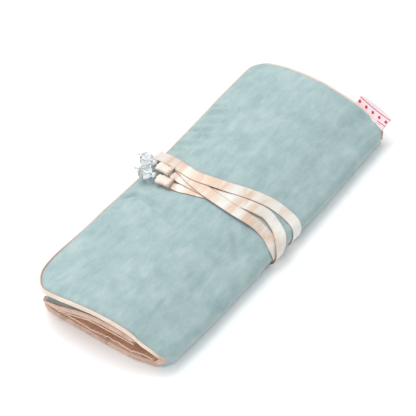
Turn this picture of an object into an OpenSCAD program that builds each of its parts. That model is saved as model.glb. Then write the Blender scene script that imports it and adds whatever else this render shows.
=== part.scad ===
// Brush roll case: a padded velvet trifold roll, lined with satin and tied round twice with a ribbon.
// +X runs along the roll, +Y is the side where the flap's free edge lies, and z = 0 is the table.
// The back panel lies on the table. The middle panel folds over it from the left fold (+Y), and the
// flap folds over both from the right fold (-Y).

/* [Case] */
// Length of the closed roll
case_length = 293; // [240:5:330]
// Width of the back panel, between the centres of its two folds
back_width = 104; // [98:1:110]
// How far the flap's free edge stands past the left fold's centre
flap_overhang = 20; // [18:1:24]
// Height of the flap's crown
crown_height = 34; // [33:0.5:38]
// Height of the flap's top at its free edge
edge_height = 25; // [24:0.5:28]
// Outer radius of both folds
fold_radius = 8.8; // [8.6:0.1:9]
// Share of the back's width that the middle panel covers, in percent
middle_cover = 77; // [70:1:80]

/* [Cloth] */
// Thickness of the velvet cover
velvet = 1.2; // [0.8:0.1:1.4]
// Thickness of the wadding
wadding = 3.6; // [3:0.1:4]
// Thickness of the satin lining
lining = 0.8; // [0.5:0.1:1]
// Width of the satin piping round the panels' edges
piping = 1.6; // [1:0.1:2.5]
// Thickness of the satin of the brush pockets
pocket_cloth = 0.5; // [0.4:0.1:0.7]
// How far each empty brush slot stands off the lining
slot_bulge = 1; // [0.6:0.1:1.1]

/* [Tie] */
// Width of the ribbon
ribbon_width = 10; // [8:0.5:10]
// Thickness of the ribbon
ribbon_thick = 0.3; // [0.2:0.05:0.35]
// Radius of the crystal beads
bead_radius = 6; // [5:0.5:6]
// Radius of the wire pins that the beads turn on
pin_radius = 0.55; // [0.4:0.05:0.6]
// Radial clearance of a bead on its pin
pin_play = 0.08; // [0.04:0.01:0.1]

/* [Label] */
// Length of the woven label along the edge
label_length = 29; // [20:1:32]
// How far the label stands out of the edge
label_reach = 7.5; // [5:0.5:10]

/* [Hidden] */
$fn = 48;

velvet_colour = "#b3cbca";
satin_colour = "#a8775c";
piping_colour = "#ecd2c0";
wadding_colour = "#f2f0ea";
ribbon_colour = "#eed9c8";
label_colour = "#ece2e3";
crystal_colour = "#e6ebee";
silver_colour = "silver";

half_length = case_length / 2;
fold_y = back_width / 2;
fold_z = fold_radius;
quilt = velvet + wadding + lining;
edge_y = fold_y + flap_overhang;
crown_y = 7;
middle_tip_y = fold_y - back_width * middle_cover / 100;
// gap between the middle panel's tip and the flap
tip_gap = 0.8;
// plan corner radii: at the right fold, at the left fold, at the flap's free edge, at the middle's tip
right_corner = 14;
left_corner = 5;
flap_corner = 22;
tip_corner = 8;
// the ribbon pulls a channel into the back and the folds between these two places along the roll
channel = [-22, 25];
channel_depth = 2.2;
// straight pieces in a panel's curve
steps = 24;
// how far a cutting shape reaches past what it cuts
past = 5;

// ---- outlines -------------------------------------------------------------------------------

// height of the flap's top, and its slope
function crown(y) = y < crown_y
    ? crown_height - (crown_height - 2 * fold_radius) * pow((crown_y - y) / (crown_y + fold_y), 1.8)
    : crown_height - (crown_height - edge_height) * pow((y - crown_y) / (edge_y - crown_y), 1.5);
function crown_slope(y) = crown(y + 0.5) - crown(y - 0.5);
// height of the middle panel's top: it follows the flap's underside and drops to the left fold
fold_drop = crown(fold_y) - quilt - tip_gap - 2 * fold_radius;
function middle_top(y) = crown(y) - quilt - tip_gap
    - fold_drop * pow((y - middle_tip_y) / (fold_y - middle_tip_y), 2);
// points of an arc
function arc(centre, r, a0, a1, n = 8) =
    [for (i = [0:n]) let (a = a0 + (a1 - a0) * i / n) centre + r * [cos(a), sin(a)]];

// seen from above: a rectangle with its own corner radii at its two long sides
module plan(half_x, y0, y1, r0, r1) {
    polygon(concat(
        arc([half_x - r0, y0 + r0], r0, -90, 0),
        arc([half_x - r1, y1 - r1], r1, 0, 90),
        arc([r1 - half_x, y1 - r1], r1, 90, 180),
        arc([r0 - half_x, y0 + r0], r0, 180, 270)));
}

// a plan drawn in x and y, run through the case's whole height
module upright() {
    translate([0, 0, -past]) linear_extrude(crown_height + 2 * past) children();
}

// a shape drawn in y and z, run along the roll
module along_roll() {
    translate([-half_length - past, 0, 0]) rotate([90, 0, 90])
        linear_extrude(case_length + 2 * past) children();
}

// places across a panel, evenly spaced from y0 to y1
function across_panel(y0, y1) = [for (i = [0:steps]) y0 + (y1 - y0) * i / steps];

// a layer of the flap, from depth d0 to d1 under its top
module flap_layer(d0, d1) {
    ys = across_panel(-fold_y, edge_y);
    top = [for (y = ys) [y, crown(y) - d0]];
    low = [for (i = [steps:-1:0]) [ys[i], crown(ys[i]) - d1]];
    along_roll() polygon(concat(top, low));
}

// a layer of the middle panel, from depth d0 to d1 under its top
module middle_layer(d0, d1) {
    ys = across_panel(middle_tip_y, fold_y);
    top = [for (y = ys) [y, middle_top(y) - d0]];
    low = [for (i = [steps:-1:0]) [ys[i], middle_top(ys[i]) - d1]];
    along_roll() polygon(concat(top, low));
}

// half a tube round a fold's axis; side is 1 for the left fold and -1 for the right fold
module fold_layer(side, r0, r1) {
    difference() {
        translate([-half_length - past, side * fold_y, fold_z]) rotate([0, 90, 0])
            cylinder(r = r1, h = case_length + 2 * past);
        translate([-half_length - 2 * past, side * fold_y, fold_z]) rotate([0, 90, 0])
            cylinder(r = r0, h = case_length + 4 * past);
        translate([-half_length - 2 * past, side > 0 ? fold_y - 2 * fold_radius : -fold_y, -past])
            cube([case_length + 4 * past, 2 * fold_radius, 2 * (fold_radius + past)]);
    }
}

// plan outlines of the panels with their piping, and inside it
module back_plan(inset) {
    plan(half_length - inset, -fold_y - fold_radius, fold_y + fold_radius, right_corner, left_corner);
}
module flap_plan(inset) {
    plan(half_length - inset, -fold_y - fold_radius, edge_y - inset, right_corner, flap_corner - inset);
}
module middle_plan(inset) {
    translate([0, middle_tip_y + inset]) difference() {
        plan(half_length - 1 - inset, 0, 2 * (fold_y + fold_radius), tip_corner - inset, left_corner);
        translate([-case_length, fold_y - middle_tip_y + fold_radius]) square([2 * case_length, case_length]);
    }
}

// the channel's length along the roll, widened by wall on both sides
module channel_span(wall, y0, y1, z0, z1) {
    translate([channel[0] - wall, y0, z0])
        cube([channel[1] - channel[0] + 2 * wall, y1 - y0, z1 - z0]);
}

// the channel over the whole height of the folds
module fold_channel(wall) {
    channel_span(wall, -2 * fold_y, 2 * fold_y, -past, 2 * fold_radius + past);
}

// a slab over the back's width, from z0 to z1
module back_slab(z0, z1) {
    translate([-half_length - past, -fold_y, z0])
        cube([case_length + 2 * past, back_width, z1 - z0]);
}

// ---- back panel -----------------------------------------------------------------------------

module back_velvet() {
    color(velvet_colour) intersection() {
        difference() {
            union() {
                back_slab(0, velvet);
                channel_span(velvet, -fold_y, fold_y, 0, channel_depth + velvet);
            }
            channel_span(0, -fold_y - past, fold_y + past, -past, channel_depth);
        }
        upright() back_plan(piping);
    }
}

module back_wadding() {
    color(wadding_colour) intersection() {
        difference() {
            back_slab(velvet, velvet + wadding);
            channel_span(velvet, -fold_y - past, fold_y + past, 0, channel_depth + velvet);
        }
        upright() back_plan(piping);
    }
}

module back_lining() {
    color(satin_colour) intersection() {
        back_slab(velvet + wadding, quilt);
        upright() back_plan(piping);
    }
}

module back_piping() {
    color(piping_colour) intersection() {
        back_slab(0, quilt);
        upright() difference() {
            back_plan(0);
            back_plan(piping);
        }
    }
}

// ---- folds ----------------------------------------------------------------------------------

// one fold's velvet, drawn in where the ribbon runs
module fold_velvet(side) {
    drawn_radius = fold_radius - channel_depth;
    color(velvet_colour) intersection() {
        union() {
            difference() {
                fold_layer(side, fold_radius - velvet, fold_radius);
                fold_channel(0);
            }
            intersection() {
                fold_layer(side, drawn_radius - velvet, drawn_radius);
                fold_channel(0);
            }
            difference() {
                intersection() {
                    fold_layer(side, drawn_radius - velvet, fold_radius);
                    fold_channel(velvet);
                }
                fold_channel(0);
            }
        }
        upright() back_plan(piping);
    }
}

module fold_wadding(side) {
    color(wadding_colour) intersection() {
        difference() {
            fold_layer(side, fold_radius - quilt + lining, fold_radius - velvet);
            intersection() {
                fold_layer(side, fold_radius - velvet - channel_depth, fold_radius + past);
                fold_channel(velvet);
            }
        }
        upright() back_plan(piping);
    }
}

module fold_lining(side) {
    color(satin_colour) intersection() {
        fold_layer(side, fold_radius - quilt, fold_radius - quilt + lining);
        upright() back_plan(piping);
    }
}

module fold_piping(side) {
    color(piping_colour) intersection() {
        fold_layer(side, fold_radius - quilt, fold_radius);
        upright() difference() {
            back_plan(0);
            back_plan(piping);
        }
    }
}

module left_fold_pocket() {
    color(satin_colour) intersection() {
        fold_layer(1, fold_radius - quilt - seam_gap - pocket_cloth, fold_radius - quilt - seam_gap);
        upright() pocket_plan();
    }
}

// ---- brush pockets --------------------------------------------------------------------------

// the pockets stop short of the near end, where the brushes go in
pocket_x = [-half_length + 3.5, half_length - piping - 0.4];
back_seams = [-fold_y + 2, -23, 15, fold_y];
middle_seams = [middle_tip_y + piping + 1, 15, fold_y];
seam_gap = 0.15;
thread_radius = 0.3;
thread_start = 1;
thread_end = 11;
slot_steps = 8;

module pocket_plan() {
    translate([pocket_x[0], -edge_y]) square([pocket_x[1] - pocket_x[0], 2 * edge_y]);
}

// how far the pocket stands off the lining at y, between its seams
function slot_at(y, seams, k = 0) = k >= len(seams) - 1 ? 0
    : y >= seams[k] && y <= seams[k + 1]
        ? slot_bulge * pow(sin(180 * (y - seams[k]) / (seams[k + 1] - seams[k])), 0.7)
        : slot_at(y, seams, k + 1);

// places across the pocket, with slot_steps to each slot
function slot_ys(seams) = concat([seams[0]],
    [for (k = [0:len(seams) - 2], i = [1:slot_steps])
        seams[k] + (seams[k + 1] - seams[k]) * i / slot_steps]);

module back_pocket() {
    ys = slot_ys(back_seams);
    n = len(ys) - 1;
    near = [for (i = [0:n]) [ys[i], quilt + seam_gap + slot_at(ys[i], back_seams)]];
    far = [for (i = [n:-1:0]) near[i] + [0, pocket_cloth]];
    color(satin_colour) intersection() {
        along_roll() polygon(concat(near, far));
        upright() intersection() {
            pocket_plan();
            back_plan(piping);
        }
    }
}

module middle_pocket() {
    ys = slot_ys(middle_seams);
    n = len(ys) - 1;
    near = [for (i = [0:n])
        [ys[i], middle_top(ys[i]) - quilt - seam_gap - slot_at(ys[i], middle_seams)]];
    far = [for (i = [n:-1:0]) near[i] - [0, pocket_cloth]];
    color(satin_colour) intersection() {
        along_roll() polygon(concat(near, far));
        upright() pocket_plan();
    }
}

// a line of stitches along a slot's side
module seam_thread(y, z) {
    translate([pocket_x[0] + thread_start, y, z]) rotate([0, 90, 0])
        cylinder(r = thread_radius, h = pocket_x[1] - pocket_x[0] - thread_start - thread_end, $fn = 24);
}

module back_pocket_seams() {
    color(piping_colour) for (k = [1:len(back_seams) - 2])
        seam_thread(back_seams[k], quilt + seam_gap + pocket_cloth + thread_radius + seam_gap);
}

module middle_pocket_seams() {
    color(piping_colour) for (k = [1:len(middle_seams) - 2])
        seam_thread(middle_seams[k],
            middle_top(middle_seams[k]) - quilt - pocket_cloth - thread_radius - 2 * seam_gap);
}

// ---- middle panel ---------------------------------------------------------------------------

module middle_velvet() {
    color(velvet_colour) intersection() {
        middle_layer(0, velvet);
        upright() middle_plan(piping);
    }
}

module middle_wadding() {
    color(wadding_colour) intersection() {
        middle_layer(velvet, velvet + wadding);
        upright() middle_plan(piping);
    }
}

module middle_lining() {
    color(satin_colour) intersection() {
        middle_layer(velvet + wadding, quilt);
        upright() middle_plan(piping);
    }
}

module middle_piping() {
    color(piping_colour) intersection() {
        middle_layer(0, quilt);
        upright() difference() {
            middle_plan(0);
            middle_plan(piping);
        }
    }
}

// ---- flap -----------------------------------------------------------------------------------

module flap_velvet() {
    color(velvet_colour) intersection() {
        flap_layer(0, velvet);
        upright() flap_plan(piping);
    }
}

module flap_wadding() {
    color(wadding_colour) intersection() {
        flap_layer(velvet, velvet + wadding);
        upright() flap_plan(piping);
    }
}

module flap_lining() {
    color(satin_colour) intersection() {
        flap_layer(velvet + wadding, quilt);
        upright() flap_plan(piping);
    }
}

module flap_piping() {
    color(piping_colour) intersection() {
        flap_layer(0, quilt);
        upright() difference() {
            flap_plan(0);
            flap_plan(piping);
        }
    }
}

// ---- woven label ----------------------------------------------------------------------------

label_y = -37;
label_thick = 1;
label_gap = 0.2;

// the label's root is round, so that it bends without touching the piping
module woven_label() {
    root = label_thick / 2;
    color(label_colour) translate([half_length + label_gap, label_y, crown(label_y) - quilt / 2])
        rotate([atan(crown_slope(label_y)), 0, 0]) {
            translate([root, 0, 0]) rotate([90, 0, 0])
                cylinder(r = root, h = label_length, center = true);
            translate([root, -label_length / 2, -root])
                cube([label_reach - root, label_length, label_thick]);
        }
}

// ---- ribbon ---------------------------------------------------------------------------------

// The ribbon is folded double under the case. Both halves go round the right fold, over the top,
// down past the flap's edge, under the case, round the right fold again, and under themselves to
// a knot on top. Level 0 lies next to the case, and each higher level lies on the one before.
level_pitch = 0.7;
level_lift = 0.5;
top_ys = [-46, -36, -26, -14, 0, 7, 14, 28, 42, 54, 66];
under_ys = [49, 40, 24, 8, -8, -24, -40];
fold_angles = [270, 240, 210, 180, 150, 125, 100];
function lift(level) = level_lift + level_pitch * level;

// a ring is [centre, the direction out of the case]
function under_ring(x, y, level) = [[x, y, channel_depth - lift(level)], [0, 0, -1]];
function fold_ring(x, a, level) =
    let (r = fold_radius - channel_depth * (a - 90) / 180 + lift(level), out = [0, cos(a), sin(a)])
    [[x, -fold_y, fold_z] + r * out, out];
function top_ring(x, y, level) =
    let (s = crown_slope(y), out = [0, -s, 1] / sqrt(1 + s * s))
    [[x, y, crown(y)] + lift(level) * out, out];
// down the left side: past the flap's edge, then slanting in to the underside
left_side = [[0, edge_y + 0.3, edge_height - 0.2], [0, edge_y + 0.8, edge_height - 4.6],
    [0, edge_y - 7, 12.6], [0, fold_y + 6, 3.6]];
left_out = [[0, 0.7, 0.7], [0, 1, -0.2], [0, 0.75, -0.66], [0, 0.7, -0.7]];
function left_ring(x, k, level) = [[x, 0, 0] + left_side[k] + lift(level) * left_out[k], left_out[k]];

// first half: bight, over the top at the far side of the wrap, then round again between the two
first_bight = [[2.1, 31], [6, 31], [11, 29.5], [15, 25], [17, 17]];
first_under_x = [17, 17, 17, 17];
first_fold_x = 17;
first_top_x = [19.5, 21.5, 20, 17, 11.5, 9.5, 8.5, 8, 9.5, 12.5, 13];
first_top_level = [0, 0, 0, 0.6, 2, 2.6, 3, 3, 3, 3, 3];
left_x = [13, 13, 12.5, 12];
again_under_x = [11.4, 10.5, 8.5, 6, 3.5, 1, -1];
again_fold_x = [-2, -2.5, -2.5, -2.3, -1.3, 0.8, 3.4];
first_tail = [[5.5, -46], [8, -36], [7.5, -26], [4, -14], [-0.5, 0], [-2.4, 7], [-3.4, 14],
    [-2.6, 28], [-2.2, 39], [-2.5, 43]];
// second half: the near side of the wrap
second_bight = [[1.9, 31], [-2, 31], [-7, 29.5], [-11, 25], [-13.5, 17]];
second_x = -13.5;
second_top_x = [-10, -7, -5.5, -4.5, -3, -1.8, -0.5, 3, 8, 12.5, 13];
second_top_level = [0, 1, 2, 2, 2, 2, 2, 2, 2, 2, 2];
second_tail = [[5.5, -46], [8, -36], [7, -26], [3, -14], [-2, 0], [-4.5, 7], [-7, 14],
    [-10.5, 25], [-12.6, 33]];

first_knot_at = [-1.6, 53];
second_knot_at = [-12.8, 45];
knot_half = 6;
knot_rise = 4;
tail_gap = 0.7;
tail_drop = 1.5;
function knot_centre(p) = [p[0], p[1], crown(p[1]) + knot_rise];
function tail_end(p) = [knot_centre(p) - [0, knot_half + tail_gap, tail_drop], [0, 0, 1]];

first_half = concat(
    [for (p = first_bight) under_ring(p[0], p[1], 0)],
    [for (k = [0:3]) under_ring(first_under_x[k], under_ys[k + 3], 0)],
    [for (a = fold_angles) fold_ring(first_fold_x, a, 0)],
    [for (k = [0:10]) top_ring(first_top_x[k], top_ys[k], first_top_level[k])],
    [for (k = [0:3]) left_ring(left_x[k], k, 2)],
    [for (k = [0:6]) under_ring(again_under_x[k], under_ys[k], 2)],
    [for (k = [0:6]) fold_ring(again_fold_x[k], fold_angles[k], 2)],
    [for (p = first_tail) top_ring(p[0], p[1], 1)],
    [tail_end(first_knot_at)]);

second_half = concat(
    [for (p = second_bight) under_ring(p[0], p[1], 0)],
    [for (k = [3:6]) under_ring(second_x, under_ys[k], 0)],
    [for (a = fold_angles) fold_ring(second_x, a, 0)],
    [for (k = [0:10]) top_ring(second_top_x[k], top_ys[k], second_top_level[k])],
    [for (k = [0:3]) left_ring(left_x[k], k, 1)],
    [for (k = [0:6]) under_ring(again_under_x[k], under_ys[k], 1)],
    [for (k = [0:6]) fold_ring(again_fold_x[k], fold_angles[k], 1)],
    [for (p = second_tail) top_ring(p[0], p[1], 0)],
    [tail_end(second_knot_at)]);

function unit(v) = v / norm(v);
// the four corners of the ribbon at ring i of a route
function ribbon_corners(route, i) =
    let (n = len(route) - 1,
        ahead = unit(route[min(i + 1, n)][0] - route[max(i - 1, 0)][0]),
        across = unit(cross(ahead, route[i][1])),
        out = cross(across, ahead))
    [for (c = [[1, 1], [-1, 1], [-1, -1], [1, -1]])
        route[i][0] + across * c[0] * ribbon_width / 2 + out * c[1] * ribbon_thick / 2];

module ribbon(route) {
    n = len(route) - 1;
    points = [for (i = [0:n], c = ribbon_corners(route, i)) c];
    sides = [for (i = [0:n - 1], k = [0:3]) let (a = 4 * i + k, b = 4 * i + (k + 1) % 4)
        each [[a, b, b + 4], [a, b + 4, a + 4]]];
    caps = [[2, 1, 0], [3, 2, 0], [4 * n, 4 * n + 1, 4 * n + 2], [4 * n, 4 * n + 2, 4 * n + 3]];
    color(ribbon_colour) polyhedron(points, concat(sides, caps));
}

// ---- knots, pins and beads ------------------------------------------------------------------

knot_radius = 3.2;
knot_width = 10.4;
pin_turn = [0, 8];
pin_length = 19.6;
rondelle_at = 2.9;
rondelle_half = 1.5;
rondelle_radius = 3;
bead_at = rondelle_at + rondelle_half + bead_radius + 0.3;
knob_radius = 1.3;
pin_gap = 0.1;

module knot(p) {
    color(ribbon_colour) translate(knot_centre(p)) {
        rotate([90, 0, 0]) cylinder(r = knot_radius - 0.2, h = 2 * knot_half, center = true);
        rotate([0, 90, 0]) cylinder(r = knot_radius, h = knot_width, center = true);
    }
}

// the frame of a knot's pin: its origin is where the pin leaves the knot, and z runs along the pin
module on_pin(p, turn) {
    translate(knot_centre(p) + [0, knot_half, 0]) rotate([-90, 0, turn]) children();
}

module pin(p, turn) {
    color(silver_colour) on_pin(p, turn) {
        translate([0, 0, pin_gap]) cylinder(r = pin_radius, h = pin_length - knob_radius);
        translate([0, 0, pin_length]) sphere(r = knob_radius);
    }
}

module rondelle(p, turn) {
    color(silver_colour) on_pin(p, turn) translate([0, 0, rondelle_at]) rotate_extrude()
        polygon([[pin_radius, -rondelle_half], [rondelle_radius - 0.9, -rondelle_half],
            [rondelle_radius, 0], [rondelle_radius - 0.9, rondelle_half], [pin_radius, rondelle_half]]);
}

module bead(p, turn) {
    color(crystal_colour) on_pin(p, turn) translate([0, 0, bead_at]) difference() {
        sphere(r = bead_radius);
        cylinder(r = pin_radius + pin_play, h = 3 * bead_radius, center = true);
    }
}

back_velvet();
back_wadding();
back_lining();
back_piping();
back_pocket();
back_pocket_seams();
fold_velvet(-1);  // right_fold_velvet
fold_wadding(-1);  // right_fold_wadding
fold_lining(-1);  // right_fold_lining
fold_piping(-1);  // right_fold_piping
fold_velvet(1);  // left_fold_velvet
fold_wadding(1);  // left_fold_wadding
fold_lining(1);  // left_fold_lining
fold_piping(1);  // left_fold_piping
left_fold_pocket();
middle_velvet();
middle_wadding();
middle_lining();
middle_piping();
middle_pocket();
middle_pocket_seams();
flap_velvet();
flap_wadding();
flap_lining();
flap_piping();
woven_label();
ribbon(first_half);  // ribbon_first_half
ribbon(second_half);  // ribbon_second_half
knot(first_knot_at);  // first_knot
knot(second_knot_at);  // second_knot
pin(first_knot_at, pin_turn[0]);  // first_pin
pin(second_knot_at, pin_turn[1]);  // second_pin
rondelle(first_knot_at, pin_turn[0]);  // first_rondelle
rondelle(second_knot_at, pin_turn[1]);  // second_rondelle
bead(second_knot_at, pin_turn[1]);  // faceted_bead
bead(first_knot_at, pin_turn[0]);  // lobed_bead
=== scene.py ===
import math

import bmesh
import bpy
import numpy as np
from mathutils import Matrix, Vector, noise


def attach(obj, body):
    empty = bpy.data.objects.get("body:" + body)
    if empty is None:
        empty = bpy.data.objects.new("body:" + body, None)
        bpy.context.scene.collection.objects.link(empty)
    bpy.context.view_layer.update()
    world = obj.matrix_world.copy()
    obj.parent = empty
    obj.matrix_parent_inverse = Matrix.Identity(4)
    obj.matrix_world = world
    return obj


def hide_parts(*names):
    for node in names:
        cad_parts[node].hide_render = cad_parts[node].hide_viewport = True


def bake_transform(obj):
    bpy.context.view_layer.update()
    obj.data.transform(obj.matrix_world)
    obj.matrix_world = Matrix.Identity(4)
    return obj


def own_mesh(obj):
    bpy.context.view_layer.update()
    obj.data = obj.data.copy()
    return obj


# Every length below is in millimetres in the row frame; make_mesh() turns it into metres.
MM = 0.001

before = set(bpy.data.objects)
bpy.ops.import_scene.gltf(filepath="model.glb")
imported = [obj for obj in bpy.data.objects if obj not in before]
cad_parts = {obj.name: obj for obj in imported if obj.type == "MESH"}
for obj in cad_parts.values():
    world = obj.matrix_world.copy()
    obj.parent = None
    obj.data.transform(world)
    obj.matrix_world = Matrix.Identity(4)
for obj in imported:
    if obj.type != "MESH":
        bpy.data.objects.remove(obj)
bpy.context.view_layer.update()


def add_object(name, data):
    obj = bpy.data.objects.new(name, data)
    bpy.context.scene.collection.objects.link(obj)
    return obj


# ---- camera ----

camera_data = bpy.data.cameras.new("camera")
camera_data.lens = 199.9
camera_data.sensor_width = 36
camera_data.clip_end = 20
camera = add_object("camera", camera_data)
camera.location = (-0.9651, -0.6866, 1.3012)
aim = Vector((0.00262, 0.01487, 0.00876)) - camera.location
camera.rotation_euler = aim.to_track_quat("-Z", "Y").to_euler()
bpy.context.scene.camera = camera

# ---- the case's measurements, as in the CAD model ----

HALF_LENGTH = 146.5
FOLD_Y = 52
FOLD_R = 8.8
EDGE_Y = 72
CROWN_Y, CROWN_HEIGHT, EDGE_HEIGHT = 7, 34, 25
MIDDLE_TIP_Y = -28.08
TIP_GAP = 0.8
COVER = 4.8
QUILT = 5.6
CHANNEL = (-19, 29)
CHANNEL_DEPTH = 2.2
RIGHT_CORNER, LEFT_CORNER, FLAP_CORNER, FAR_FLAP_CORNER, TIP_CORNER = 2.5, 4, 22, 15, 8
RIBBON_WIDTH = 10
KNOT_RISE = 4
KNOT_HALF = 6


def crown(y):
    """height of the flap's top"""
    if y < CROWN_Y:
        low = CROWN_HEIGHT - 2 * FOLD_R
        return CROWN_HEIGHT - low * ((CROWN_Y - y) / (CROWN_Y + FOLD_Y)) ** 1.8
    return CROWN_HEIGHT - (CROWN_HEIGHT - EDGE_HEIGHT) * ((y - CROWN_Y) / (EDGE_Y - CROWN_Y)) ** 1.5


def crown_slope(y):
    return crown(y + 0.5) - crown(y - 0.5)


def middle_top(y):
    """height of the middle panel's top, which follows the flap's underside"""
    drop = crown(FOLD_Y) - QUILT - TIP_GAP - 2 * FOLD_R
    return crown(y) - QUILT - TIP_GAP - drop * ((y - MIDDLE_TIP_Y) / (FOLD_Y - MIDDLE_TIP_Y)) ** 2


def bell(distance, width):
    return math.exp(-((distance / width) ** 2))


def hermite(t, start, leave, end, arrive):
    """the point at t on a curve with these ends and these directions there"""
    return ((2 * t**3 - 3 * t**2 + 1) * start + (t**3 - 2 * t**2 + t) * leave
            + (3 * t**2 - 2 * t**3) * end + (t**3 - t**2) * arrive)


def cos_sin(degrees):
    a = math.radians(degrees)
    return math.cos(a), math.sin(a)


def smooth_step(t):
    t = min(1, max(0, t))
    return t * t * (3 - 2 * t)


def eased(at, places, values, reach):
    """the value at a place on the line through the points, averaged over the reach"""
    around = (-reach, -reach / 2, 0, reach / 2, reach)
    return sum(np.interp(at + d, places, values) for d in around) / len(around)


# how far the right fold is drawn in from its plan: most at the ends, least by the ribbon
NOSE_X = [-137, -100, -40, 10, 90, 147]
NOSE_IN = [8, 6, 6, 4, 7, 9]
NOSE_CORNER_X, NOSE_CORNER, NOSE_CORNER_IN = -135, 12.5, 8


def nose_in(x, y):
    past = min(1, max(0, (NOSE_CORNER_X - x) / NOSE_CORNER))
    corner = NOSE_CORNER_IN * (1 - math.sqrt(1 - past * past))
    return (eased(x, NOSE_X, NOSE_IN, 10) + corner) * smooth_step((-y - 18) / 30)


# ---- ribbon routes ----
# Each half runs from the bight under the case, round the right fold, over the top and the left
# edge, under and round once more, and ends on top. The lists hold its place along the case (X) at
# each line that it crosses. A level counts the layers of ribbon beneath it.

TOP_YS = [-46, -36, -26, -14, 0, 7, 14, 28, 42, 54, 64]
UNDER_YS = [49, 40, 24, 8, -8, -24, -40]
FOLD_ANGLES = [270, 240, 210, 180, 150, 125, 100]
LEFT_SIDE = [(EDGE_Y - 3.2, EDGE_HEIGHT - 0.2), (EDGE_Y - 2.6, EDGE_HEIGHT - 4.6),
             (EDGE_Y - 8.5, 12.6), (FOLD_Y + 6, 3.6)]
LEFT_OUT = [(0.7, 0.7), (1, -0.2), (0.75, -0.66), (0.7, -0.7)]
FIRST_BIGHT = [(2.1, 31), (6, 31), (11, 29.5), (15, 25), (17, 17)]
FIRST_UNDER_X = [17, 16.5, 16, 15.5]
FIRST_FOLD_X = [15, 15, 16, 18, 20.5, 22, 23]
FIRST_TOP_X = [23.4, 22, 19.4, 15, 9, 7, 5.6, 4.4, 6.8, 9.3, 9.6]
FIRST_TOP_LEVEL = [0, 0, 0, 0.6, 2, 2.6, 3, 3, 3, 3, 3]
LEFT_X = [9.7, 10.3, 11.2, 12]
AGAIN_UNDER_X = [11.4, 10, 7.5, 5, 2, -1.5, -4.5]
AGAIN_FOLD_X = [-6, -6.4, -6.2, -5, -3, 0.7, 5]
FIRST_TAIL = [(9, -46), (10.4, -36), (8, -26), (3.8, -14), (-1, 0), (-3, 7), (-4, 14),
              (-3.2, 28), (-2.4, 39), (-2.5, 43)]
SECOND_BIGHT = [(1.9, 31), (-2, 31), (-7, 29.5), (-11, 25), (-13.5, 17)]
SECOND_UNDER_X = [-12.5, -11, -9, -7.5]
SECOND_FOLD_X = [-6.5, -6.5, -6.6, -7, -7.6, -6.9, -4.6]
SECOND_TOP_X = [-2.4, -2.4, -4.4, -6, -6, -5.4, -4, 0, 6, 9.3, 9.6]
SECOND_TOP_LEVEL = [0, 1, 2, 2, 2, 2, 2, 2, 2, 2, 2]
SECOND_TAIL = [(9, -46), (10.4, -36), (7.4, -26), (3, -14), (-2, 0), (-4.5, 7), (-6.6, 14),
               (-9, 25), (-11.6, 33)]
FIRST_KNOT = (-1.6, 53)
SECOND_KNOT = (-12.8, 45)


def lift(level):
    return 0.5 + 0.7 * level


def under_ring(x, y, level):
    return (x, y, CHANNEL_DEPTH - lift(level)), (0, 0, -1)


def fold_ring(x, angle, level):
    r = FOLD_R - CHANNEL_DEPTH * (angle - 90) / 180 + lift(level)
    c, s = cos_sin(angle)
    return (x, -FOLD_Y + r * c, FOLD_R + r * s), (0, c, s)


def top_ring(x, y, level):
    s = crown_slope(y)
    out = np.array([0, -s, 1]) / math.hypot(1, s)
    return tuple(np.array([x, y, crown(y)]) + lift(level) * out), tuple(out)


def left_ring(x, k, level):
    (y, z), (oy, oz) = LEFT_SIDE[k], LEFT_OUT[k]
    return (x, y + lift(level) * oy, z + lift(level) * oz), (0, oy, oz)


def knot_centre(at):
    return np.array([at[0], at[1], crown(at[1]) + KNOT_RISE])


def tail_end(at):
    return tuple(knot_centre(at) - (0, KNOT_HALF + 0.7, 1.5)), (0, 0, 1)


def route(bight, under_x, fold_x, top_x, top_level, left_level, again_level, tail, tail_level, knot):
    rings = [under_ring(x, y, 0) for x, y in bight]
    rings += [under_ring(x, y, 0) for x, y in zip(under_x, UNDER_YS[3:])]
    rings += [fold_ring(x, a, 0) for x, a in zip(fold_x, FOLD_ANGLES)]
    rings += [top_ring(x, y, level) for x, y, level in zip(top_x, TOP_YS, top_level)]
    rings += [left_ring(x, k, left_level) for k, x in enumerate(LEFT_X)]
    rings += [under_ring(x, y, again_level) for x, y in zip(AGAIN_UNDER_X, UNDER_YS)]
    rings += [fold_ring(x, a, again_level) for x, a in zip(AGAIN_FOLD_X, FOLD_ANGLES)]
    rings += [top_ring(x, y, tail_level) for x, y in tail]
    rings.append(tail_end(knot))
    return [((x, y + nose_in(x, y), z), out) for (x, y, z), out in rings]


FIRST_ROUTE = route(FIRST_BIGHT, FIRST_UNDER_X, FIRST_FOLD_X, FIRST_TOP_X, FIRST_TOP_LEVEL, 2, 2,
                    FIRST_TAIL, 1, FIRST_KNOT)
SECOND_ROUTE = route(SECOND_BIGHT, SECOND_UNDER_X, SECOND_FOLD_X, SECOND_TOP_X, SECOND_TOP_LEVEL, 1, 1,
                     SECOND_TAIL, 0, SECOND_KNOT)

# ---- mesh helpers ----


def unit(v):
    v = np.asarray(v, float)
    return v / max(np.linalg.norm(v), 1e-9)


def make_mesh(name, points, faces, mat, smooth=True, marks=None):
    mesh = bpy.data.meshes.new(name)
    mesh.from_pydata([tuple(float(c) * MM for c in p) for p in points], [], faces)
    for mark, values in (marks or {}).items():
        attribute = mesh.attributes.new(mark, "FLOAT", "POINT")
        attribute.data.foreach_set("value", list(map(float, values)))
    bm = bmesh.new()
    bm.from_mesh(mesh)
    bmesh.ops.remove_doubles(bm, verts=bm.verts, dist=1e-6)
    bmesh.ops.recalc_face_normals(bm, faces=bm.faces)
    bm.to_mesh(mesh)
    bm.free()
    for polygon in mesh.polygons:
        polygon.use_smooth = smooth
    mesh.materials.append(mat)
    obj = add_object(name, mesh)
    return obj


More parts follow.
